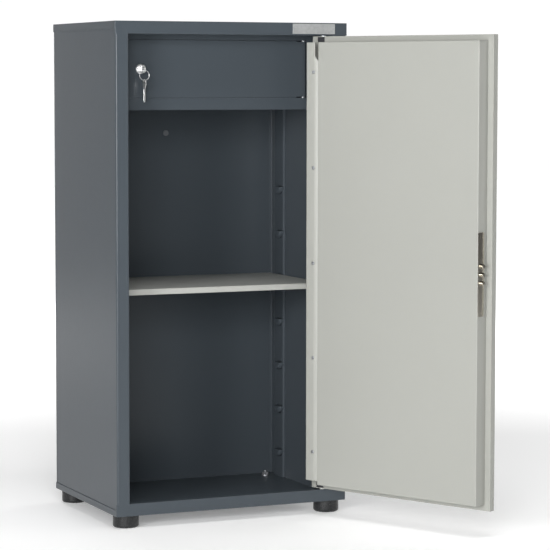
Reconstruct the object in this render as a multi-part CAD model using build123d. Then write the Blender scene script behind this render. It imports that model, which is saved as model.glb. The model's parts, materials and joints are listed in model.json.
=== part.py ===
"""Steel office cabinet with a lockable main door, an inner treasury box and one shelf.

The model is drawn with x to the right from the left side, y back from the front
plane and z up from the floor.  Every part is then shifted so that the origin is
the centre of the footprint on the floor.  The main door is drawn closed and
turned to its open rest position about its pivot pins.
"""
from build123d import *
from math import sqrt
import os

# Cabinet body
width = 500.0
depth = 370.0
height = 1000.0
foot_height = 25.0
foot_radius = 26.0
foot_inset = 30.0
rear_foot_y = 338.0
sheet = 1.5
rail_height = 25.0
top_skirt = 16.0
base_skirt = 13.0
stile_edge = 28.4
stile_return = 24.0
rail_return = 20.0
bend_radius = 2.5
front_bend_radius = 3.5
stile_notch = 40.0
rear_flange = 4.8

# Feet and their fasteners
foot_edge_radius = 5.0
groove_height = 1.0
groove_drop = 2.5
groove_depth = 0.7
stud_radius = 4.0
stud_bottom = 8.0
stud_reach = 12.0
washer_radius = 8.0
washer_thickness = 1.6
nut_flats = 13.0
nut_height = 6.0

# Nameplate
plate_left = 379.0
plate_right = 472.5
nameplate_bottom = 977.5
nameplate_top = 998.0
nameplate_thickness = 0.9
nameplate_recess = 0.3
nameplate_border = 1.2
rivet_inset = 3.2
rivet_shank = 1.1
rivet_head = 1.7

# Wall anchor hole in the back
anchor_height = 772.5
anchor_radius = 4.5

# Main door, closed
pivot_x = 450.0
pivot_y = 6.0
door_open_angle = 116.6
door_sheet = 1.2
door_left = 30.0
door_right = 470.0
door_bottom = 53.0
door_top = 973.0
tray_depth = 14.5
tray_flange = 13.0
door_depth = 44.7
box_left = 43.0
box_bottom = 65.0
box_top = 961.0
strip_left = 434.0
strip_right = 463.0
strip_bottom = 73.0
strip_top = 960.5
roll_width = 7.0
roll_drop = 3.0
roll_radius = 20.0
strip_screw_x = 444.2
strip_screw_first = 131.9
strip_screw_pitch = 192.4
strip_screw_count = 5
strip_screw_shank = 1.9
strip_screw_head = 3.6
slot_height = 38.5
slot_slope = 11.0
hinge_gap = (440.0, 458.0)
pivot_pin_radius = 3.0
pivot_bush_radius = 4.4
pivot_collar_radius = 5.4
pivot_block_length = 24.0
running_gap = 0.05
sliding_gap = 0.08

# Main lock
plate_bottom = 433.0
plate_top = 595.0
plate_front = 26.2
plate_back = 43.6
bolt_y = 33.0
bolt_middle = 513.5
bolt_pitch = 16.5
bolt_radius = 4.5
bolt_front = 36.0
bolt_rear = 71.0
carrier_thickness = 4.0
plate_thickness = 2.0
plate_screw_inset = 9.0
plate_screw_shank = 2.0
plate_screw_head = 3.8
countersink = 1.6
case_length = 66.0
case_front = 21.0
keyhole_x = 88.0
cover_pivot_z = 530.0

# Treasury
treasury_y = 80.0
treasury_bottom = 825.3
opening_left = 40.0
opening_right = 447.2
opening_bottom = 849.0
opening_top = 965.5
frame_return = 12.0
door_gap = 1.0
rail_gap = 0.35
treasury_door_right = 444.5
hinge_notch = 2.0
hinge_notch_width = 20.0
treasury_pivot_x = 441.0
treasury_pivot_y = 84.0
treasury_pin_radius = 2.5
treasury_collar_radius = 3.8
lock_x = 83.2
lock_z = 906.9
lock_face_y = 77.0
lock_back_y = 98.0
plug_radius = 6.0
barrel_radius = 8.0
lock_flange_radius = 10.0
lock_nut_flats = 23.0
lock_nut_thickness = 5.0
cam_half_width = 8.0
cam_length = 39.0
cam_thickness = 2.0
cam_screw_radius = 2.0

# Keys and ring
key_thickness = 2.0
bow_radius = 8.5
key_hole_radius = 3.5
key_hole_offset = 3.5
neck_width = 10.0
neck_height = 5.0
blade_width = 6.6
blade_length = 28.5
cut_first = 7.0
cut_pitch = 4.2
cut_count = 4
ring_radius = 10.0
ring_wire = 0.75
ring_y = 57.0
hang_gap = 0.1

# Shelf and its uprights
shelf_top = 467.5
shelf_sheet = 1.2
shelf_lip = 11.5
shelf_front = 78.0
shelf_back = 362.0
shelf_side_gap = 8.0
lug_pitch = 95.0
lug_levels = range(-4, 3)
lug_radius = 15.5
lug_reach = 10.0
lug_edge_radius = 6.0
lug_offset = 14.5
lug_slot_half = 12.0
lug_slot_bottom = 0.2
lug_slot_top = 2.6
upright_stand = 3.0
front_upright = (92.0, 140.0)
rear_upright = (297.0, 342.0)

front = 0.0
back = depth
top = height
base = foot_height
inner = 2 * sheet
back_panel_front = back - 2 * sheet
joggle_gap = door_sheet + 0.1
flange_front = back - 3 * sheet
plate_middle_y = (plate_front + plate_back) / 2
rivet_height = (nameplate_bottom + nameplate_top) / 2
ring_top = lock_z - key_hole_radius + hang_gap + ring_wire
ring_bottom = ring_top - 2 * ring_radius
centre = Pos(-width / 2, -depth / 2, 0)


def block(x0, x1, y0, y1, z0, z1):
    """Box between two corners."""
    middle = Pos((x0 + x1) / 2, (y0 + y1) / 2, (z0 + z1) / 2)
    return middle * Box(x1 - x0, y1 - y0, z1 - z0)


def upright_rod(x, y, z0, z1, radius):
    """Vertical cylinder."""
    return Pos(x, y, (z0 + z1) / 2) * Cylinder(radius, z1 - z0)


def rod_along_x(x0, x1, y, z, radius):
    """Cylinder that runs left to right."""
    return Pos((x0 + x1) / 2, y, z) * Rot(0, 90, 0) * Cylinder(radius, x1 - x0)


def rod_along_y(x, y0, y1, z, radius):
    """Cylinder that runs front to back."""
    return Pos(x, (y0 + y1) / 2, z) * Rot(90, 0, 0) * Cylinder(radius, y1 - y0)


def hexagon_on_z(x, y, z0, z1, across_flats):
    """Hexagonal prism standing on its end."""
    outline = RegularPolygon(across_flats / 2, 6, major_radius=False)
    return Pos(x, y, z0) * extrude(outline, z1 - z0)


def folded_sheet(points, z0, z1, thickness, radii=bend_radius):
    """Sheet bent along a path of outer points, standing from z0 to z1."""
    path = FilletPolyline(*points, radius=radii)
    outline = make_face(offset(path, amount=thickness, side=Side.RIGHT, closed=True))
    return Pos(0, 0, z0) * extrude(outline, amount=z1 - z0, dir=(0, 0, 1))


def mirrored(shape):
    """The same part on the cabinet's other side."""
    return mirror(shape, Plane.YZ.offset(width / 2))


def in_door(shape):
    """Turn a part of the closed main door to the open rest position."""
    axis = Axis((pivot_x, pivot_y, 0), (0, 0, 1))
    return shape.rotate(axis, door_open_angle)


def save(name, shape):
    """Write one part in the shared frame."""
    solids = [centre * solid for solid in shape.solids()]
    export_step(solids[0] if len(solids) == 1 else Compound(solids), f"parts/{name}.step")


# Cabinet body

def side_panel():
    """Left side with its front stile and rear flange, notched behind both rails."""
    path = [
        (stile_edge, stile_return),
        (stile_edge, front),
        (sheet, front),
        (sheet, back_panel_front),
        (sheet + rear_flange, back_panel_front),
    ]
    radii = [bend_radius, front_bend_radius, bend_radius]
    panel = folded_sheet(path, base + sheet, top - sheet, sheet, radii)
    for z0, z1 in ((base, base + rail_height), (top - rail_height, top)):
        panel -= block(inner, stile_notch, -1, stile_return + 2, z0, z1)
        panel -= block(0, stile_notch, -1, sheet, z0, z1)
    return panel


def top_cover():
    """Top plate with a deep front rail, shallow skirts and a bottom return."""
    cover = block(0, width, 0, depth, top - rail_height, top)
    rims = cover.edges().group_by(Axis.Z)[-1] + cover.edges().filter_by(Axis.Z)
    cover = fillet(rims, sheet)
    cover -= block(sheet, width - sheet, sheet, depth - sheet, 0, top - sheet)
    cover -= block(-1, width + 1, sheet, depth + 1, 0, top - top_skirt)
    z0 = top - rail_height
    cover += block(inner, width - inner, sheet, rail_return, z0, z0 + sheet)
    cover -= upright_rod(pivot_x, pivot_y, z0 - 1, z0 + sheet + 1, pivot_bush_radius)
    return cover


def base_pan():
    """Floor plate with a front rail, its top return and shallow skirts."""
    z1 = base + rail_height
    pan = block(0, width, 0, depth, base, z1)
    rims = pan.edges().group_by(Axis.Z)[0] + pan.edges().filter_by(Axis.Z)
    pan = fillet(rims, sheet)
    pan -= block(sheet, width - sheet, sheet, depth - sheet, base + sheet, top)
    pan -= block(-1, width + 1, sheet, depth + 1, base + base_skirt, top)
    pan += block(inner, width - inner, sheet, rail_return, z1 - sheet, z1)
    pan -= upright_rod(pivot_x, pivot_y, z1 - sheet - 1, z1 + 1, pivot_bush_radius)
    for x, y in foot_places().values():
        pan -= upright_rod(x, y, base - 1, base + sheet + 1, stud_radius)
    return pan


def back_panel():
    """Plain back with one hole for a wall anchor."""
    y0, y1 = back_panel_front, back - sheet
    panel = block(sheet, width - sheet, y0, y1, base + sheet, top - sheet)
    return panel - rod_along_y(width / 2, y0 - 1, y1 + 1, anchor_height, anchor_radius)


def wall_anchor_plug():
    """Push-in plug for the anchor hole, with its flange inside."""
    y0 = back_panel_front
    flange = rod_along_y(width / 2, y0 - 1.6, y0, anchor_height, anchor_radius + 1.5)
    flange = fillet(flange.edges().group_by(Axis.Y)[0], 0.8)
    return flange + rod_along_y(width / 2, y0, y0 + sheet, anchor_height, anchor_radius)


def foot_places():
    """Foot centres by name."""
    right = width - foot_inset
    return {
        "front_left": (foot_inset, foot_inset),
        "front_right": (right, foot_inset),
        "rear_left": (foot_inset, rear_foot_y),
        "rear_right": (right, rear_foot_y),
    }


def foot(x, y):
    """Round moulded foot with a rounded lower edge and a blind bolt hole."""
    body = upright_rod(x, y, 0, base, foot_radius)
    body = fillet(body.edges().group_by(Axis.Z)[0], foot_edge_radius)
    z1 = base - groove_drop
    z0 = z1 - groove_height
    groove = upright_rod(x, y, z0, z1, foot_radius + 1)
    groove -= upright_rod(x, y, z0, z1, foot_radius - groove_depth)
    return body - groove - upright_rod(x, y, stud_bottom, base + 1, stud_radius)


def foot_stud(x, y):
    """Threaded stud that joins a foot to the floor plate."""
    stud = upright_rod(x, y, stud_bottom, base + stud_reach, stud_radius)
    return chamfer(stud.edges().group_by(Axis.Z)[-1], 0.8)


def foot_washer(x, y):
    """Flat washer on the floor plate."""
    z0 = base + sheet
    z1 = z0 + washer_thickness
    return upright_rod(x, y, z0, z1, washer_radius) - upright_rod(x, y, z0, z1, stud_radius)


def foot_nut(x, y):
    """Hexagon nut on the stud."""
    z0 = base + sheet + washer_thickness
    z1 = z0 + nut_height
    nut = hexagon_on_z(x, y, z0, z1, nut_flats)
    return nut - upright_rod(x, y, z0 - 1, z1 + 1, stud_radius)


def pivot_bush(z0, z1):
    """Plain sleeve that the door's pivot pin turns in."""
    sleeve = upright_rod(pivot_x, pivot_y, z0, z1, pivot_bush_radius)
    bore = pivot_pin_radius + running_gap
    return sleeve - upright_rod(pivot_x, pivot_y, z0 - 1, z1 + 1, bore)


def nameplate():
    """Blank plate with a thin raised border."""
    plate = block(
        plate_left, plate_right, -nameplate_thickness, front, nameplate_bottom, nameplate_top
    )
    plate = fillet(plate.edges().filter_by(Axis.Y), 1.0)
    plate -= block(
        plate_left + nameplate_border,
        plate_right - nameplate_border,
        -nameplate_thickness - 1,
        nameplate_recess - nameplate_thickness,
        nameplate_bottom + nameplate_border,
        nameplate_top - nameplate_border,
    )
    for x in rivet_places():
        plate -= rod_along_y(x, -1, 1, rivet_height, rivet_shank)
    return plate


def rivet_places():
    """Positions of the two nameplate rivets from the left."""
    return [plate_left + rivet_inset, plate_right - rivet_inset]


def nameplate_rivets():
    """Two small round-headed rivets."""
    y0 = nameplate_recess - nameplate_thickness
    rivets = []
    for x in rivet_places():
        head = rod_along_y(x, 2 * y0, y0, rivet_height, rivet_head)
        head = fillet(head.edges().group_by(Axis.Y)[0], 0.4)
        rivets.append(head + rod_along_y(x, y0, front, rivet_height, rivet_shank))
    return Compound(rivets)


# Shelf

def lug():
    """Half-round pressed lug with a flat top, reaching in from x = 0 to +reach."""
    middle = Pos(lug_reach / 2, 0, 0) * Rot(0, 90, 0)
    disc = middle * Cylinder(lug_radius, lug_reach)
    disc = fillet(disc.edges().group_by(Axis.X)[-1], lug_edge_radius)
    return disc - block(-1, lug_reach + 1, -2 * lug_radius, 2 * lug_radius, 0, 2 * lug_radius)


def shelf_upright(y0, y1):
    """Left upright channel with a column of lugs, each under a narrow slot."""
    face = inner + upright_stand
    path = [(inner, y0), (face, y0), (face, y1), (inner, y1)]
    strip = folded_sheet(path, base + sheet, treasury_bottom, shelf_sheet)
    middle = y0 + lug_offset
    slot = (middle - lug_slot_half, middle + lug_slot_half)
    one = lug()
    for level in lug_levels:
        z = shelf_top - shelf_sheet + level * lug_pitch
        strip += Pos(face, middle, z) * one
        strip -= block(inner, face + 2, *slot, z + lug_slot_bottom, z + lug_slot_top)
    return strip


def shelf():
    """Shelf plate with turned-down front and back edges."""
    x0 = inner + shelf_side_gap
    x1 = width - x0
    z0 = shelf_top - shelf_lip
    plate = block(x0, x1, shelf_front, shelf_back, z0, shelf_top)
    plate = fillet(plate.edges().filter_by(Axis.X).group_by(Axis.Z)[-1], 1.5)
    t = shelf_sheet
    plate -= block(x0 - 1, x1 + 1, shelf_front + t, shelf_back - t, z0 - 1, shelf_top - t)
    plate += block(x0, x1, shelf_front, shelf_front + shelf_lip, z0, z0 + t)
    plate += block(x0, x1, shelf_back - shelf_lip, shelf_back, z0, z0 + t)
    return plate


# Treasury

def treasury_frame():
    """Front frame of the treasury with returns around its door opening."""
    y0 = treasury_y
    y1 = treasury_y + frame_return
    z0 = opening_bottom - sheet
    z1 = opening_top + sheet
    frame = block(inner, width - inner, y0, y0 + sheet, treasury_bottom, top - sheet)
    frame += block(opening_left - sheet, opening_right + sheet, y0, y1, z0, z1)
    frame -= block(opening_left, opening_right, 0, depth, opening_bottom, opening_top)
    bore = treasury_pin_radius + running_gap
    return frame - upright_rod(treasury_pivot_x, treasury_pivot_y, z0 - 1, z1 + 1, bore)


def treasury_floor():
    """Floor of the treasury, between the frame and the back."""
    y0 = treasury_y + sheet
    y1 = flange_front - (bend_radius - sheet)
    z0 = treasury_bottom
    return block(inner, width - inner, y0, y1, z0, z0 + sheet)


def treasury_door_panel():
    """Shallow tray with returns on four sides, notched around its hinge pins."""
    x0 = opening_left + door_gap
    x1 = treasury_door_right
    z0 = opening_bottom + rail_gap
    z1 = opening_top - rail_gap
    y0, y1 = treasury_y, treasury_y + frame_return
    s = door_sheet
    tray = block(x0, x1, y0, y1, z0, z1)
    tray = fillet(tray.edges().group_by(Axis.Y)[0], 0.8)
    hollow = block(x0 + s, x1 - s, y0 + s, y1 + 1, z0 + s, z1 - s)
    notch_x = x1 - hinge_notch_width
    for low, high in ((z0 - 1, z0 + hinge_notch), (z1 - hinge_notch, z1 + 1)):
        tray -= block(notch_x, x1 + 1, 0, depth, low, high)
        hollow -= block(notch_x - s, x1 + 1, 0, depth, low - s, high + s)
    tray -= hollow
    tray -= rod_along_y(lock_x, 0, depth, lock_z, barrel_radius)
    return tray - upright_rod(treasury_pivot_x, treasury_pivot_y, 0, top, treasury_pin_radius)


def treasury_hinge_pins():
    """Lower and upper pins, each with a collar in the notch of the door."""
    x, y = treasury_pivot_x, treasury_pivot_y
    low = opening_bottom + rail_gap + hinge_notch
    high = opening_top - rail_gap - hinge_notch
    lower = upright_rod(x, y, opening_bottom - 5, low + 4, treasury_pin_radius)
    lower += upright_rod(x, y, opening_bottom + 0.3, low, treasury_collar_radius)
    upper = upright_rod(x, y, high - 4, opening_top + 5, treasury_pin_radius)
    upper += upright_rod(x, y, high, opening_top - 0.3, treasury_collar_radius)
    return Compound([lower, upper])


def cam_lock_housing():
    """Round lock body with a chamfered face ring."""
    face = rod_along_y(lock_x, lock_face_y, treasury_y, lock_z, lock_flange_radius)
    face = chamfer(face.edges().group_by(Axis.Y)[0], 1.2)
    body = face + rod_along_y(lock_x, treasury_y, lock_back_y, lock_z, barrel_radius)
    return body - rod_along_y(lock_x, 0, depth, lock_z, plug_radius + running_gap)


def cam_lock_nut():
    """Hexagon nut that clamps the lock behind the door sheet."""
    outline = RegularPolygon(lock_nut_flats / 2, 6, major_radius=False)
    place = Pos(lock_x, treasury_y + door_sheet, lock_z) * Rot(-90, 0, 0)
    nut = place * extrude(outline, lock_nut_thickness)
    return nut - rod_along_y(lock_x, 0, depth, lock_z, barrel_radius)


def key_outline():
    """Flat key, blade down, with the ring hole at the origin."""
    blade_top = -key_hole_offset - bow_radius
    tip = blade_top - blade_length
    outline = Pos(0, -key_hole_offset) * Circle(bow_radius)
    outline += Pos(0, blade_top - 1) * Rectangle(neck_width, neck_height)
    outline += Pos(0, (blade_top + tip) / 2) * Rectangle(blade_width, blade_length)
    for side in (-1, 1):
        outline -= Pos(side * blade_width / 2, tip) * Rot(0, 0, 45) * Rectangle(3.4, 3.4)
    for step in range(cut_count):
        place = Pos(blade_width / 2 + 0.3, blade_top - cut_first - cut_pitch * step)
        outline -= place * Rot(0, 0, 45) * Rectangle(1.9, 1.9)
    return outline - Circle(key_hole_radius)


def key_solid():
    """Key standing in the YZ plane, blade down, ring hole at the origin."""
    plate = extrude(key_outline(), amount=key_thickness / 2, both=True)
    return Rot(0, 0, 90) * Rot(90, 0, 0) * plate


def inserted_key():
    """Key in the lock, its bow towards the front."""
    return Pos(lock_x, ring_y, lock_z) * Rot(90, 0, 0) * key_solid()


def cam_lock_plug():
    """Turning plug with a slot for the key."""
    plug = rod_along_y(lock_x, lock_face_y + 0.4, lock_back_y + 0.5, lock_z, plug_radius)
    return plug - inserted_key()


def lock_cam():
    """Flat cam that points down when the treasury is unlocked."""
    y0 = lock_back_y + 0.5
    y1 = y0 + cam_thickness
    r = cam_half_width
    bar = block(lock_x - r, lock_x + r, y0, y1, lock_z - cam_length, lock_z)
    for z in (lock_z, lock_z - cam_length):
        bar += rod_along_y(lock_x, y0, y1, z, r)
    return bar - rod_along_y(lock_x, 0, depth, lock_z, cam_screw_radius)


def cam_screw():
    """Screw that holds the cam on the plug."""
    y0 = lock_back_y + 0.5
    y1 = y0 + cam_thickness
    head = rod_along_y(lock_x, y1, y1 + 3, lock_z, 4.5)
    head = fillet(head.edges().group_by(Axis.Y)[-1], 1)
    head -= block(lock_x - 5, lock_x + 5, y1 + 1.8, y1 + 4, lock_z - 0.6, lock_z + 0.6)
    return head + rod_along_y(lock_x, y0, y1, lock_z, cam_screw_radius)


def key_ring():
    """Round wire ring hanging through the key's bow."""
    return Pos(lock_x, ring_y, ring_top - ring_radius) * Rot(90, 0, 0) * Torus(ring_radius, ring_wire)


def spare_key():
    """Second key, hanging from the ring."""
    hole_z = ring_bottom + ring_wire + hang_gap - key_hole_radius
    return Pos(lock_x, ring_y, hole_z) * key_solid()


# Main door, drawn closed

def door_skin():
    """Outer tray with a return flange around its back edge."""
    s = door_sheet
    f = tray_flange
    x0, x1, z0, z1 = door_left, door_right, door_bottom, door_top
    tray = block(x0, x1, front, tray_depth, z0, z1)
    tray = fillet(tray.edges().group_by(Axis.Y)[0], 1.2)
    tray -= block(x0 + s, x1 - s, s, tray_depth - s, z0 + s, z1 - s)
    tray -= block(x0 + f, x1 - f, s, tray_depth + 1, z0 + f - 1, z1 - f + 1)
    for low, high in ((z0 + s, box_bottom + 2), (box_top - 2, z1 - s)):
        tray -= block(*hinge_gap, tray_depth - 2, tray_depth + 1, low, high)
    tray -= upright_rod(pivot_x, pivot_y, 0, top, pivot_pin_radius)
    return tray - keyhole(-1, s + 1)


def keyhole(y0, y1):
    """Cutter for the keyhole through the front of the door."""
    hole = rod_along_y(keyhole_x, y0, y1, bolt_middle, 3)
    return hole + block(keyhole_x - 1.5, keyhole_x + 1.5, y0, y1, bolt_middle - 9, bolt_middle)


def door_inner_box():
    """Raised inner panel with a stepped flange under the hinge strip."""
    s = door_sheet
    x1 = strip_left - 1
    shell = block(box_left, x1, tray_depth, door_depth, box_bottom, box_top)
    rims = shell.edges().group_by(Axis.Y)[-1]
    shell = fillet(rims + shell.edges().filter_by(Axis.Y).group_by(Axis.X)[0], 1.5)
    shell -= block(box_left + s, x1 + 1, tray_depth - 1, door_depth - s, box_bottom + s, box_top - s)
    step = joggle_path()
    wall = (step[0][1] - s, door_depth - 1.5)
    shell += block(x1 - s, x1, *wall, box_bottom + s, box_top - s)
    joggle_top = strip_top - slot_height - 2
    shell += folded_sheet(step, strip_bottom, joggle_top, s, roll_radius - joggle_gap)
    for z in strip_screw_heights():
        shell -= rod_along_y(strip_screw_x, 30, 50, z, strip_screw_shank)
    for z in bolt_heights():
        shell -= rod_along_x(box_left - 1, box_left + s + 1, bolt_y, z, bolt_radius + sliding_gap)
    for z in plate_screw_heights():
        shell -= rod_along_x(box_left - 1, box_left + s + 1, plate_middle_y, z, plate_screw_shank)
    return shell


def joggle_path():
    """Top of the stepped flange, parallel to the rolled edge of the strip."""
    slope = roll_drop / roll_width
    x0 = strip_left - 1 - door_sheet / 2
    flat = door_depth - joggle_gap
    low = door_depth - roll_drop - joggle_gap * sqrt(1 + slope * slope)
    corner = strip_left + (flat - low) / slope
    return [(x0, low + (x0 - strip_left) * slope), (corner, flat), (strip_right - 11, flat)]


def strip_screw_heights():
    """Heights of the screws in the hinge strip."""
    return [strip_screw_first + i * strip_screw_pitch for i in range(strip_screw_count)]


def door_hinge_strip():
    """Cover strip on the hinge side, its free edge rolled down and slotted at the top."""
    path = [
        (strip_left, door_depth - roll_drop),
        (strip_left + roll_width, door_depth),
        (strip_right, door_depth),
        (strip_right, tray_depth),
    ]
    strip = folded_sheet(path, strip_bottom, strip_top, door_sheet, [roll_radius, bend_radius])
    slot = [
        (strip_left - 1, strip_top - slot_height),
        (strip_left, strip_top - slot_height),
        (strip_left + roll_width, strip_top - slot_height + slot_slope),
        (strip_left + roll_width, strip_top + 1),
        (strip_left - 1, strip_top + 1),
    ]
    strip -= extrude(Plane.XZ * make_face(Polyline(*slot, close=True)), amount=-100)
    for z in strip_screw_heights():
        strip -= rod_along_y(strip_screw_x, 40, 50, z, strip_screw_shank)
    return strip


def hinge_strip_screws():
    """Pan-head screws that hold the hinge strip."""
    x, y0 = strip_screw_x, door_depth
    slot_bottom = y0 + 0.9
    screws = []
    for z in strip_screw_heights():
        head = rod_along_y(x, y0, y0 + 1.8, z, strip_screw_head)
        head = fillet(head.edges().group_by(Axis.Y)[-1], 1.0)
        head -= block(x - 2, x + 2, slot_bottom, y0 + 2, z - 0.45, z + 0.45)
        head -= block(x - 0.45, x + 0.45, slot_bottom, y0 + 2, z - 2, z + 2)
        screws.append(head + rod_along_y(x, y0 - 9, y0, z, strip_screw_shank))
    return Compound(screws)


def pivot_block(z0, z1):
    """Steel block inside the door tray that holds a pivot pin."""
    s = door_sheet
    body = block(pivot_x - 12, pivot_x + 12, s, tray_depth - s - 0.5, z0, z1)
    return body - upright_rod(pivot_x, pivot_y, z0 - 1, z1 + 1, pivot_pin_radius)


def pivot_pin(z0, z1, collar0, collar1):
    """Pivot pin with a collar in the gap between the door and the cabinet."""
    pin = upright_rod(pivot_x, pivot_y, z0, z1, pivot_pin_radius)
    pin = chamfer(pin.edges().group_by(Axis.Z)[0] + pin.edges().group_by(Axis.Z)[-1], 0.6)
    return pin + upright_rod(pivot_x, pivot_y, collar0, collar1, pivot_collar_radius)


# Main lock

def bolt_heights():
    """Heights of the three round bolts."""
    return [bolt_middle + i * bolt_pitch for i in (-1, 0, 1)]


def plate_screw_heights():
    """Heights of the two face plate screws."""
    return [plate_bottom + plate_screw_inset, plate_top - plate_screw_inset]


def countersunk_cone(z):
    """Cone under a face plate screw's head."""
    x = box_left - countersink / 2 - 0.4
    cone = Cone(plate_screw_head, plate_screw_shank, countersink)
    return Pos(x, plate_middle_y, z) * Rot(0, 90, 0) * cone


def lock_face_plate():
    """Flat plate around the bolts on the door's free side."""
    x0 = box_left - plate_thickness
    plate = block(x0, box_left, plate_front, plate_back, plate_bottom, plate_top)
    plate = fillet(plate.edges().filter_by(Axis.X), 3)
    for z in bolt_heights():
        plate -= rod_along_x(x0 - 1, box_left + 1, bolt_y, z, bolt_radius + sliding_gap)
    for z in plate_screw_heights():
        plate -= rod_along_x(x0 - 1, box_left + 1, plate_middle_y, z, plate_screw_shank)
        plate -= countersunk_cone(z)
    return plate


def face_plate_screws():
    """Two countersunk screws with cross recesses."""
    x0, y = box_left - plate_thickness, plate_middle_y
    shank = (box_left - 0.4, box_left + 8)
    recess = (x0 - 1, x0 + 0.7)
    screws = []
    for z in plate_screw_heights():
        screw = countersunk_cone(z) + rod_along_x(*shank, y, z, plate_screw_shank)
        screw -= block(*recess, y - 2.2, y + 2.2, z - 0.4, z + 0.4)
        screw -= block(*recess, y - 0.4, y + 0.4, z - 2.2, z + 2.2)
        screws.append(screw)
    return Compound(screws)


def lock_case():
    """Hollow lock case behind the face plate, open for bolts, screws and key."""
    s = sheet
    x0, x1 = box_left + door_sheet, box_left + door_sheet + case_length
    y0, y1 = case_front, door_depth - door_sheet - 0.2
    z0, z1 = plate_bottom + 4, plate_top - 4
    case = block(x0, x1, y0, y1, z0, z1)
    case -= block(x0 + s, x1 - s, y0 + s, y1 - s, z0 + s, z1 - s)
    for z in bolt_heights():
        case -= rod_along_x(x0 - 1, x0 + s + 1, bolt_y, z, bolt_radius + sliding_gap)
    for z in plate_screw_heights():
        case -= rod_along_x(x0 - 1, x0 + 20, plate_middle_y, z, plate_screw_shank)
    return case - keyhole(y0 - 1, y0 + s + 1)


def lock_bolts():
    """Three round bolts, drawn back until their tips just stand out."""
    bolts = []
    for z in bolt_heights():
        bolt = rod_along_x(bolt_front, bolt_rear, bolt_y, z, bolt_radius)
        bolts.append(chamfer(bolt.edges().group_by(Axis.X)[0], 1.0))
    return Compound(bolts)


def bolt_carrier():
    """Plate inside the lock case that moves the three bolts together."""
    heights = bolt_heights()
    x1 = bolt_rear + carrier_thickness
    plate = block(bolt_rear, x1, bolt_y - 7, bolt_y + 7, heights[0] - 9, heights[-1] + 9)
    return fillet(plate.edges().filter_by(Axis.X), 2)


def keyhole_escutcheon():
    """Plate around the keyhole on the door's front."""
    plate = block(keyhole_x - 13, keyhole_x + 13, -1.5, 0, bolt_middle - 26, bolt_middle + 26)
    plate = fillet(plate.edges().filter_by(Axis.Y), 8)
    plate = chamfer(plate.edges().group_by(Axis.Y)[0], 0.5)
    plate -= rod_along_y(keyhole_x, -3, 1, cover_pivot_z, 1.5)
    return plate - keyhole(-3, 1)


def keyhole_cover():
    """Swinging drop-shaped cover over the keyhole."""
    x, z0, z1 = keyhole_x, bolt_middle - 4, cover_pivot_z
    y0, y1 = -3.0, -1.8
    drop = rod_along_y(x, y0, y1, z0, 9) + rod_along_y(x, y0, y1, z1, 5.5)
    drop += block(x - 5.5, x + 5.5, y0, y1, z0, z1)
    return drop - rod_along_y(x, -5, 1, z1, 1.5 + running_gap)


def cover_rivet():
    """Rivet that the keyhole cover swings on."""
    head = rod_along_y(keyhole_x, -4.3, -3.3, cover_pivot_z, 3)
    head = fillet(head.edges().group_by(Axis.Y)[0], 0.6)
    return head + rod_along_y(keyhole_x, -3.3, 0, cover_pivot_z, 1.5)


def cabinet_parts():
    """Every fixed part of the cabinet."""
    feet = foot_places()
    parts = {
        "side_panel_left": side_panel(),
        "side_panel_right": mirrored(side_panel()),
        "top_cover": top_cover(),
        "base_pan": base_pan(),
        "back_panel": back_panel(),
        "wall_anchor_plug": wall_anchor_plug(),
        "nameplate": nameplate(),
        "nameplate_rivets": nameplate_rivets(),
        "pivot_bush_top": pivot_bush(top - rail_height, top - rail_height + 6),
        "pivot_bush_bottom": pivot_bush(base + rail_height - 6, base + rail_height + 1),
        "foot_studs": Compound([foot_stud(x, y) for x, y in feet.values()]),
        "foot_washers": Compound([foot_washer(x, y) for x, y in feet.values()]),
        "foot_nuts": Compound([foot_nut(x, y) for x, y in feet.values()]),
        "treasury_front_frame": treasury_frame(),
        "treasury_floor": treasury_floor(),
    }
    for name, (x, y) in feet.items():
        parts[f"foot_{name}"] = foot(x, y)
    for name, (y0, y1) in {"front": front_upright, "rear": rear_upright}.items():
        left = shelf_upright(y0, y1)
        parts[f"shelf_upright_{name}_left"] = left
        parts[f"shelf_upright_{name}_right"] = mirrored(left)
    return parts


def moving_inner_parts():
    """Shelf, treasury door, its lock and the keys."""
    return {
        "shelf": shelf(),
        "treasury_door_panel": treasury_door_panel(),
        "treasury_hinge_pins": treasury_hinge_pins(),
        "cam_lock_housing": cam_lock_housing(),
        "cam_lock_nut": cam_lock_nut(),
        "cam_lock_plug": cam_lock_plug(),
        "lock_cam": lock_cam(),
        "cam_screw": cam_screw(),
        "inserted_key": inserted_key(),
        "key_ring": key_ring(),
        "spare_key": spare_key(),
    }


def main_door_parts():
    """Every part that swings with the main door, drawn closed."""
    inner_bottom = door_bottom + door_sheet
    inner_top = door_top - door_sheet
    return {
        "door_skin": door_skin(),
        "door_inner_box": door_inner_box(),
        "door_hinge_strip": door_hinge_strip(),
        "hinge_strip_screws": hinge_strip_screws(),
        "pivot_block_top": pivot_block(inner_top - pivot_block_length, inner_top),
        "pivot_block_bottom": pivot_block(inner_bottom, inner_bottom + pivot_block_length),
        "pivot_pin_top": pivot_pin(door_top - 24, door_top + 9, door_top, door_top + 1.5),
        "pivot_pin_bottom": pivot_pin(door_bottom - 8, door_bottom + 24, door_bottom - 1.7, door_bottom),
        "lock_face_plate": lock_face_plate(),
        "face_plate_screws": face_plate_screws(),
        "lock_case": lock_case(),
        "lock_bolts": lock_bolts(),
        "bolt_carrier": bolt_carrier(),
        "keyhole_escutcheon": keyhole_escutcheon(),
        "keyhole_cover": keyhole_cover(),
        "cover_rivet": cover_rivet(),
    }


os.makedirs("parts", exist_ok=True)
for part_name, part in {**cabinet_parts(), **moving_inner_parts()}.items():
    save(part_name, part)
for part_name, part in main_door_parts().items():
    save(part_name, in_door(part))
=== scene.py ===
"""Steel office cabinet with a treasury box: looks, detailed pieces, light and camera."""
import json
import math

import bmesh
import bpy
from mathutils import Matrix, Vector


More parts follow.
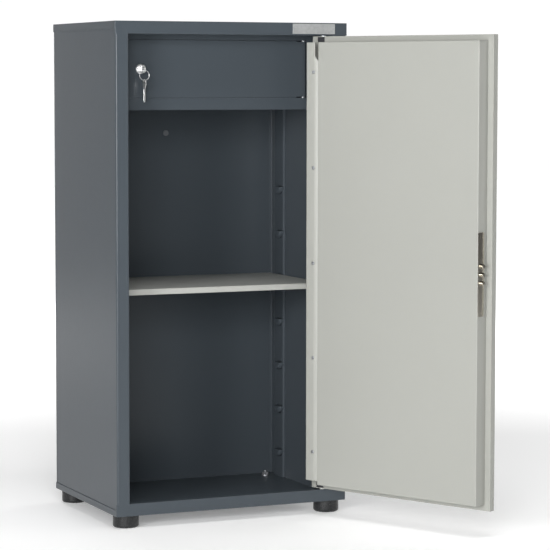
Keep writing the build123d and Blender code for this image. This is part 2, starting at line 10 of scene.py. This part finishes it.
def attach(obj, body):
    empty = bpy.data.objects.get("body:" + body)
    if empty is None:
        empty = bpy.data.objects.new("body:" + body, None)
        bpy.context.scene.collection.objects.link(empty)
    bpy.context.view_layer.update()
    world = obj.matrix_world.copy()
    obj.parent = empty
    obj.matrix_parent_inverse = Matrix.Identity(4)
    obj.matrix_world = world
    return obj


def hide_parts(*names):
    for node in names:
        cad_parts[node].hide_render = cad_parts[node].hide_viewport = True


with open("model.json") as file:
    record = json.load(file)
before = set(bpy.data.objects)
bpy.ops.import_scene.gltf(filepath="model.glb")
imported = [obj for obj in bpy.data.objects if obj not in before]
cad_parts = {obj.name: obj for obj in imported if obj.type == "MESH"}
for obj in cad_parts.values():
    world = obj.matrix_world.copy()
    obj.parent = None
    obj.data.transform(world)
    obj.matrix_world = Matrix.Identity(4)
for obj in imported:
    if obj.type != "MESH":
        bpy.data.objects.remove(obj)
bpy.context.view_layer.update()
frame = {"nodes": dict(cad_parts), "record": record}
nodes = frame["nodes"]


# ---------------------------------------------------------------- node tools

class Nodes:
    """Small helper that builds one material's node tree."""

    def __init__(self, name):
        self.material = bpy.data.materials.new(name)
        self.material.use_nodes = True
        self.tree = self.material.node_tree
        self.tree.nodes.clear()
        output = self.tree.nodes.new("ShaderNodeOutputMaterial")
        self.shader = self.tree.nodes.new("ShaderNodeBsdfPrincipled")
        self.link(self.shader.outputs["BSDF"], output.inputs["Surface"])
        self.place = self.tree.nodes.new("ShaderNodeTexCoord").outputs["Object"]

    def link(self, source, target):
        self.tree.links.new(source, target)

    def set(self, **values):
        """Set plain numbers on the shader's own sockets."""
        for name, value in values.items():
            self.shader.inputs[name.replace("_", " ")].default_value = value

    def stretched(self, scale):
        """Object coordinates scaled by three factors."""
        node = self.tree.nodes.new("ShaderNodeMapping")
        node.inputs["Scale"].default_value = scale
        self.link(self.place, node.inputs["Vector"])
        return node.outputs["Vector"]

    def noise(self, scale, detail=2.0, roughness=0.5, place=None):
        node = self.tree.nodes.new("ShaderNodeTexNoise")
        node.inputs["Scale"].default_value = scale
        node.inputs["Detail"].default_value = detail
        node.inputs["Roughness"].default_value = roughness
        self.link(place or self.place, node.inputs["Vector"])
        return node.outputs["Fac"]

    def ramp(self, source, low, high, start=0.3, end=0.7):
        """Map a factor to a range of numbers."""
        node = self.tree.nodes.new("ShaderNodeMapRange")
        node.inputs["From Min"].default_value = start
        node.inputs["From Max"].default_value = end
        node.inputs["To Min"].default_value = low
        node.inputs["To Max"].default_value = high
        self.link(source, node.inputs["Value"])
        return node.outputs["Result"]

    def along(self, direction):
        """Distance of the shaded point along a direction."""
        node = self.tree.nodes.new("ShaderNodeVectorMath")
        node.operation = "DOT_PRODUCT"
        node.inputs[1].default_value = direction
        self.link(self.place, node.inputs[0])
        return node.outputs["Value"]

    def times(self, first, second):
        node = self.tree.nodes.new("ShaderNodeMath")
        node.operation = "MULTIPLY"
        self.link(first, node.inputs[0])
        self.link(second, node.inputs[1])
        return node.outputs["Value"]

    def blend_colours(self, source, first, second):
        """Blend two colours by a factor."""
        node = self.tree.nodes.new("ShaderNodeMix")
        node.data_type = "RGBA"
        self.link(source, node.inputs["Factor"])
        node.inputs[6].default_value = (*first, 1)
        node.inputs[7].default_value = (*second, 1)
        return node.outputs[2]

    def bump(self, layers, distance):
        """Stack of height layers, each a (height, strength) pair."""
        normal = None
        for height, strength in layers:
            node = self.tree.nodes.new("ShaderNodeBump")
            node.inputs["Distance"].default_value = distance
            node.inputs["Strength"].default_value = strength
            self.link(height, node.inputs["Height"])
            if normal is not None:
                self.link(normal, node.inputs["Normal"])
            normal = node.outputs["Normal"]
        self.link(normal, self.shader.inputs["Normal"])


def shade(colour, factor):
    """A colour made lighter or darker."""
    return tuple(min(1.0, c * factor) for c in colour)


# ---------------------------------------------------------------- materials

def powder_coat(name, colour, roughness, peel, gloss_level=0.28):
    """Satin powder coat: fine orange peel, faint cloudiness and a little uneven gloss."""
    n = Nodes(name)
    n.set(Specular_IOR_Level=gloss_level)
    cloud = n.noise(3.0, 2.0, 0.5)
    n.link(n.blend_colours(n.ramp(cloud, 0, 1), shade(colour, 0.985), shade(colour, 1.015)),
           n.shader.inputs["Base Color"])
    gloss = n.noise(60.0, 3.0, 0.6)
    n.link(n.ramp(gloss, roughness - 0.008, roughness + 0.012), n.shader.inputs["Roughness"])
    n.bump([(n.noise(420.0, 2.0, 0.5), peel), (n.noise(1500.0, 1.0, 0.5), peel * 0.5)], 0.0002)
    return n.material


def plated(name, colour, roughness, spread, scale=(1, 1, 1), grain=900.0, relief=0.04):
    """Plated or polished metal with fine, optionally directional, grain."""
    n = Nodes(name)
    n.set(Metallic=1.0)
    place = n.stretched(scale)
    patches = n.noise(140.0, 3.0, 0.6)
    n.link(n.blend_colours(n.ramp(patches, 0, 1), shade(colour, 0.9), shade(colour, 1.06)),
           n.shader.inputs["Base Color"])
    lines = n.noise(grain, 3.0, 0.6, place)
    n.link(n.ramp(lines, roughness - spread, roughness + spread), n.shader.inputs["Roughness"])
    n.bump([(lines, relief)], 0.0003)
    return n.material


def moulded(name, colour, roughness, grain_scale, grain):
    """Moulded plastic with a fine spark-eroded grain."""
    n = Nodes(name)
    patches = n.noise(30.0, 2.0, 0.5)
    n.link(n.blend_colours(n.ramp(patches, 0, 1), shade(colour, 0.9), shade(colour, 1.1)),
           n.shader.inputs["Base Color"])
    n.link(n.ramp(n.noise(200.0, 2.0), roughness - 0.05, roughness + 0.05),
           n.shader.inputs["Roughness"])
    n.bump([(n.noise(grain_scale, 2.0, 0.6), grain)], 0.0004)
    return n.material


MATERIALS = {
    "body_paint": powder_coat("graphite_powder_coat", (0.0475, 0.0575, 0.0672), 0.29, 0.012),
    "door_paint": powder_coat("light_grey_powder_coat", (0.300, 0.303, 0.280), 0.42, 0.04, 0.4),
    "shelf_paint": powder_coat("shelf_powder_coat", (0.345, 0.35, 0.33), 0.42, 0.04),
    "zinc_steel": plated("zinc_plate", (0.44, 0.45, 0.47), 0.48, 0.10),
    "lock_steel": plated("satin_nickel", (0.50, 0.47, 0.41), 0.17, 0.05, (1, 1, 0.05), 1400.0),
    "chrome": plated("nickel_plate", (0.80, 0.80, 0.80), 0.34, 0.06, relief=0.02),
    "plate_metal": plated("satin_aluminium", (0.50, 0.51, 0.51), 0.52, 0.08, (0.05, 1, 1), 1500.0),
    "foot_plastic": moulded("black_plastic", (0.008, 0.009, 0.010), 0.27, 900.0, 0.12),
    "bush_plastic": moulded("natural_nylon", (0.70, 0.69, 0.64), 0.40, 700.0, 0.1),
    "plug_plastic": moulded("grey_plastic", (0.12, 0.13, 0.14), 0.42, 700.0, 0.1),
}

MATT_PAINT = powder_coat("graphite_matt_coat", (0.046, 0.0555, 0.065), 0.60, 0.02, 0.12)
# Painted shade: the pivot blocks and the lock case get a near-black steel that stands in for the
# shade they sit in inside the door, not a real dark finish; the uprights' matt coat only changes
# gloss.
SHADE_DARK_STEEL = plated("dark_steel_as_painted_shade", (0.10, 0.10, 0.11), 0.55, 0.06)
UPRIGHTS = [f"shelf_upright_{end}_{side}"
            for end in ("front", "rear") for side in ("left", "right")]
OWN_FINISH = {
    **dict.fromkeys(UPRIGHTS, MATT_PAINT),
    **dict.fromkeys(("pivot_block_top", "pivot_block_bottom", "lock_case"), SHADE_DARK_STEEL),
}


def paint_nodes():
    """Give every carried-over node its own finish or its slot's material."""
    for row in frame["record"]["subparts"]:
        node = row["node"]
        mesh = nodes[node].data
        mesh.materials.clear()
        mesh.materials.append(OWN_FINISH.get(node, MATERIALS[row["material_slot"]]))


paint_nodes()


# ---------------------------------------------------------------- detailed pieces

WIDTH, DEPTH = 500.0, 370.0
LOCK_X, LOCK_Z = 83.2, 906.9
RING_Y, RING_Z, SPARE_Z = 57.0, 894.25, 881.7


def drawn(x, y, z):
    """A point drawn in millimetres from the left, front and floor, in the shared frame."""
    return Vector((x - WIDTH / 2, y - DEPTH / 2, z)) / 1000.0


def add_piece(name, points, faces, body, slot_name, replaced, sharp=35.0):
    """Make a smooth-shaded piece from points in metres that stands for CAD nodes."""
    mesh = bpy.data.meshes.new(name)
    mesh.from_pydata([tuple(p) for p in points], [], faces)
    shell = bmesh.new()
    shell.from_mesh(mesh)
    bmesh.ops.recalc_face_normals(shell, faces=shell.faces)
    shell.to_mesh(mesh)
    shell.free()
    mesh.polygons.foreach_set("use_smooth", [True] * len(mesh.polygons))
    mesh.set_sharp_from_angle(angle=math.radians(sharp))
    mesh.materials.append(MATERIALS[slot_name])
    piece = bpy.data.objects.new(name, mesh)
    bpy.context.scene.collection.objects.link(piece)
    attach(piece, body)
    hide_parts(*replaced)


def join_loops(count, sides, closed_ends=False, ring=False):
    """Faces between loops of equal size, in order; capped or joined end to end."""
    faces = []
    for i in range(count if ring else count - 1):
        here, there = i * sides, ((i + 1) % count) * sides
        for j in range(sides):
            k = (j + 1) % sides
            faces.append((here + j, here + k, there + k, there + j))
    if closed_ends:
        faces.append(tuple(range(sides)))
        faces.append(tuple((count - 1) * sides + j for j in range(sides)))
    return faces


class Shells:
    """Collects several closed shells into one piece."""

    def __init__(self):
        self.points, self.faces = [], []

    def add(self, points, faces, place):
        first = len(self.points)
        self.points += [place(p) for p in points]
        self.faces += [tuple(first + i for i in face) for face in faces]


def lathe(profile, sides=64):
    """Closed ring turned from a closed (radius, height) outline about the height axis."""
    points = []
    for i in range(sides):
        turn = 2 * math.pi * i / sides
        points += [(r * math.cos(turn), r * math.sin(turn), h) for r, h in profile]
    return points, join_loops(sides, len(profile), ring=True)


def thread_profile(core, crest, low, high, pitch):
    """Outer side of a threaded rod, as ridges of one pitch each."""
    steps = int((high - low) / pitch)
    side = []
    for i in range(steps):
        h = low + i * pitch
        side += [(core, h), (core, h + 0.15 * pitch),
                 (crest, h + 0.5 * pitch), (crest, h + 0.6 * pitch)]
    return side + [(core, low + steps * pitch)]


# Keys, in millimetres: the ring hole is the origin, the blade points down
# and the plate lies in the YZ plane.

BOW, HOLE, HOLE_OFFSET, KEY_HALF = 8.5, 3.5, 3.5, 1.0
BLADE_HALF, BLADE_LENGTH, BLADE_STATIONS = 3.3, 28.5, 85
BLADE_TOP = -HOLE_OFFSET - BOW + 0.8
BLADE_STRETCH = 1.028
FIRST_CUT, CUT_PITCH, CUT_DEPTHS = 8.0, 4.3, (1.1, 1.7, 0.8, 1.5)
TIP_TAPER = 2.4


def key_bow(sides=56):
    """Round bow with a raised rim, a stamped field and a hole for the ring."""
    steps = [(0.0, KEY_HALF - 0.3), (0.05, KEY_HALF), (0.24, KEY_HALF), (0.32, KEY_HALF - 0.28),
             (0.9, KEY_HALF - 0.28), (1.0, KEY_HALF - 0.45)]
    levels = steps + [(share, -half) for share, half in reversed(steps)]
    points = []
    for share, height in levels:
        for i in range(sides):
            turn = 2 * math.pi * i / sides
            outer = (BOW * math.cos(turn), BOW * math.sin(turn) - HOLE_OFFSET)
            inner = (HOLE * math.cos(turn), HOLE * math.sin(turn))
            across = outer[0] + (inner[0] - outer[0]) * share
            up = outer[1] + (inner[1] - outer[1]) * share
            points.append((height, across, up))
    return points, join_loops(len(levels), sides, ring=True)


def bitting(run):
    """Depth of the cuts at a distance along the blade."""
    depth = 0.0
    for cut, deep in enumerate(CUT_DEPTHS):
        away = abs(run - FIRST_CUT - CUT_PITCH * cut)
        depth = max(depth, deep - max(0.0, away - 0.5))
    return depth


def key_blade():
    """Blade with a milled groove on each face, cut along one edge, with a pointed tip."""
    w, t, b = BLADE_HALF, KEY_HALF, 0.22
    upper = [(-w, t - b), (-w + b, t), (-1.3, t), (-1.0, t - 0.55), (0.2, t - 0.55), (0.5, t),
             (w - b, t), (w, t - b)]
    lower = [(w, b - t), (w - b, -t), (1.7, -t), (1.4, 0.55 - t), (0.3, 0.55 - t), (0.0, -t),
             (b - w, -t), (-w, b - t)]
    section = upper + lower
    points = []
    for i in range(BLADE_STATIONS):
        run = BLADE_LENGTH * i / (BLADE_STATIONS - 1)
        tip = max(0.0, run - BLADE_LENGTH + TIP_TAPER)
        right = w - max(bitting(run), tip)
        left = -w + tip
        down = BLADE_TOP - run * BLADE_STRETCH
        points += [(height, min(max(across, left), right), down) for across, height in section]
    return points, join_loops(BLADE_STATIONS, len(section), closed_ends=True)


def key_shoulder():
    """Stop between the bow and the blade, with eased edges."""
    top, half, wide, ease = -HOLE_OFFSET - BOW + 1.5, KEY_HALF + 0.15, 5.0, 0.4
    points = []
    for height, inset in ((-half, ease), (ease - half, 0), (half - ease, 0), (half, ease)):
        low, high, out = top - 5.0 + inset, top - inset, wide - inset
        corners = ((-out, low), (out, low), (out, high), (-out, high))
        points += [(height, across, up) for across, up in corners]
    return points, join_loops(4, 4, closed_ends=True)


def key(name, body, node, lies_back):
    """Whole key, hanging down or pushed back into its lock."""
    hole = drawn(LOCK_X, RING_Y, LOCK_Z if lies_back else SPARE_Z)

    def place(p):
        x, y, z = p
        turned = (x, -z, y) if lies_back else (x, y, z)
        return hole + Vector(turned) / 1000.0

    shells = Shells()
    for make in (key_bow, key_shoulder, key_blade):
        shells.add(*make(), place)
    add_piece(name, shells.points, shells.faces, body, "chrome", [node], 30.0)


def split_ring():
    """Ring of flattened wire wound twice round."""
    middle = drawn(LOCK_X, RING_Y, RING_Z)
    radius, half_wide, half_thick, coil_offset = 10.0, 0.6, 0.34, 0.36
    first_turn, total_turn, crossover = 60, 712, 14
    stations, sides = 180, 10
    points = []
    for i in range(stations + 1):
        share = i / stations
        turn = math.radians(first_turn + total_turn * share)
        step = min(1.0, max(-1.0, (share - 0.5) * crossover))
        side = coil_offset * (1.5 * step - 0.5 * step ** 3)
        for j in range(sides):
            edge = 2 * math.pi * j / sides
            r = radius + half_wide * math.cos(edge)
            y = side + half_thick * math.sin(edge)
            points.append(middle + Vector((r * math.cos(turn), y, r * math.sin(turn))) / 1000.0)
    faces = join_loops(stations + 1, sides, closed_ends=True)
    add_piece("split_ring", points, faces, "key_ring", "chrome", ["key_ring"], 60.0)


def lock_housing():
    """Cam lock body: stepped and polished face, threaded barrel."""
    bore, barrel, flange = 6.05, 8.0, 10.0
    front, seat, rear = 77.0, 80.0, 98.0
    face = [(bore, rear), (bore, front + 0.9), (bore + 0.35, front + 0.45),
            (bore + 0.9, front + 0.3), (bore + 1.3, front + 0.06), (flange - 1.5, front),
            (flange - 0.8, front + 0.3), (flange - 0.25, front + 0.95),
            (flange, front + 1.8), (flange, seat)]
    thread = thread_profile(barrel - 0.45, barrel, seat + 0.05, rear - 0.6, 1.0)
    points, faces = lathe(face + [(barrel, seat)] + thread + [(barrel - 0.6, rear)], 72)
    centre = drawn(LOCK_X, 0.0, LOCK_Z)
    placed = [centre + Vector((x, h, y)) / 1000.0 for x, y, h in points]
    add_piece("cam_lock_body", placed, faces, "treasury_door", "chrome",
              ["cam_lock_housing"], 40.0)


def hexagon_nut(sides=72):
    """Nut with its corners chamfered above and below, and eased edges to its bore."""
    low, high, inscribed = 28.1, 34.1, 6.5
    bore, bore_edge, flat_edge = 4.05, 4.6, inscribed - 0.3
    points = []
    for i in range(sides):
        turn = 2 * math.pi * i / sides
        flat = (turn % (math.pi / 3)) - math.pi / 6
        corner = inscribed / math.cos(flat)
        drop = (corner - inscribed) * 0.58 + 0.05
        loop = [(bore, low + 0.4), (bore_edge, low), (flat_edge, low), (corner, low + drop),
                (corner, high - drop), (flat_edge, high), (bore_edge, high), (bore, high - 0.4)]
        points += [(r * math.cos(turn), r * math.sin(turn), h) for r, h in loop]
    return points, join_loops(sides, len(loop), ring=True)


def foot_fasteners():
    """Threaded studs with chamfered hexagon nuts at the four feet."""
    studs, nuts = Shells(), Shells()
    bottom, thread_end, top, centre = 8.0, 36.0, 37.0, 0.02
    rod = thread_profile(3.55, 4.0, bottom, thread_end, 1.25)
    outline = [(centre, bottom)] + rod + [(2.9, top), (centre, top)]
    for x in (30.0, 470.0):
        for y in (30.0, 338.0):
            def place(p):
                return drawn(x + p[0], y + p[1], p[2])
            studs.add(*lathe(outline, 32), place)
            nuts.add(*hexagon_nut(), place)
    add_piece("threaded_studs", studs.points, studs.faces, "cabinet", "zinc_steel",
              ["foot_studs"], 40.0)
    add_piece("hexagon_nuts", nuts.points, nuts.faces, "cabinet", "zinc_steel",
              ["foot_nuts"], 28.0)


key("key_in_lock", "cam_lock", "inserted_key", True)
key("spare_key_hanging", "spare_key", "spare_key", False)
split_ring()
lock_housing()
foot_fasteners()


# ---------------------------------------------------------------- stage

# Directions in plan, away from the camera and across its view.
BACKDROP = (0.41, 0.91, 0.0)
ACROSS = (0.91, -0.41, 0.0)


def floor(near_glow, far_glow):
    """Large pale floor, glowing a little away from the cabinet so that it meets the backdrop."""
    half = 14.0
    mesh = bpy.data.meshes.new("floor")
    corners = [(-half, -half, 0), (half, -half, 0), (half, half, 0), (-half, half, 0)]
    mesh.from_pydata(corners, [], [(0, 1, 2, 3)])
    plane = bpy.data.objects.new("floor", mesh)
    bpy.context.scene.collection.objects.link(plane)
    n = Nodes("pale_floor")
    n.set(Roughness=0.7, Base_Color=(0.9, 0.9, 0.9, 1))
    n.set(Emission_Color=(1, 1, 1, 1))
    behind = n.ramp(n.along(BACKDROP), near_glow, far_glow, 1.0, 3.0)
    left = n.ramp(n.along(ACROSS), 0, 1, -5.0, -2.5)
    right = n.ramp(n.along(ACROSS), 1, 0, 2.7, 6.0)
    n.link(n.times(n.times(left, right), behind), n.shader.inputs["Emission Strength"])
    mesh.materials.append(n.material)


def studio_world(behind, around):
    """White surroundings, brightest behind the cabinet like a lit backdrop."""
    world = bpy.data.worlds.new("studio")
    world.use_nodes = True
    tree = world.node_tree
    place = tree.nodes.new("ShaderNodeTexCoord")
    along = tree.nodes.new("ShaderNodeVectorMath")
    along.operation = "DOT_PRODUCT"
    along.inputs[1].default_value = BACKDROP
    grade = tree.nodes.new("ShaderNodeMapRange")
    grade.interpolation_type = "SMOOTHSTEP"
    grade.inputs["From Min"].default_value = 0.7
    grade.inputs["From Max"].default_value = 0.97
    grade.inputs["To Min"].default_value = around
    grade.inputs["To Max"].default_value = behind
    tree.links.new(place.outputs["Generated"], along.inputs[0])
    tree.links.new(along.outputs["Value"], grade.inputs["Value"])
    tree.links.new(grade.outputs["Result"], tree.nodes["Background"].inputs["Strength"])
    tree.nodes["Background"].inputs["Color"].default_value = (1, 1, 1, 1)
    bpy.context.scene.world = world


def softbox(name, target, bearing, height_angle, distance, size, power):
    """Area light aimed at a point from a bearing, in degrees left of the front normal."""
    data = bpy.data.lights.new(name, "AREA")
    data.shape = "RECTANGLE"
    data.size, data.size_y = size
    data.energy = power
    light = bpy.data.objects.new(name, data)
    bpy.context.scene.collection.objects.link(light)
    turn, lift = math.radians(bearing), math.radians(height_angle)
    away = Vector((-math.sin(turn) * math.cos(lift), -math.cos(turn) * math.cos(lift),
                   math.sin(lift)))
    light.location = target + away * distance
    light.rotation_euler = away.to_track_quat("Z", "Y").to_euler()


def camera():
    """Long lens from the front left, a little above the treasury."""
    data = bpy.data.cameras.new("camera")
    data.lens = 155.07
    data.sensor_width = 36.0
    data.clip_end = 200.0
    eye = bpy.data.objects.new("camera", data)
    bpy.context.scene.collection.objects.link(eye)
    yaw, pitch, roll = 0.421083, -0.082054, 0.001285
    forward = Vector((math.sin(yaw) * math.cos(pitch), math.cos(yaw) * math.cos(pitch),
                      math.sin(pitch)))
    level = Vector((math.cos(yaw), -math.sin(yaw), 0))
    upward = level.cross(forward)
    right = level * math.cos(roll) + upward * math.sin(roll)
    up = upward * math.cos(roll) - level * math.sin(roll)
    turn = Matrix((right, up, -forward)).transposed().to_4x4()
    eye.matrix_world = Matrix.Translation((-1.8525, -4.5246, 0.8850)) @ turn
    bpy.context.scene.camera = eye


MIDDLE = Vector((0, 0, 0.6))

floor(0.19, 0.92)
studio_world(1.02, 0.07)
softbox("key", MIDDLE, 50.4, 5.2, 4.0, (1.0, 1.4), 97)
softbox("fill", MIDDLE, 25, 10, 4.5, (1.6, 1.6), 124)
softbox("side", MIDDLE, -52, 8, 4.5, (1.2, 1.6), 40)
softbox("overhead", Vector((0, 0, 0.5)), 10, 66, 3.5, (1.5, 1.5), 44)
softbox("rear", MIDDLE, 180, 5, 4.5, (1.6, 1.6), 55)
softbox("rear_side", MIDDLE, -118, 6, 4.5, (1.6, 1.6), 80)
camera()
bpy.context.scene.view_settings.view_transform = "Standard"
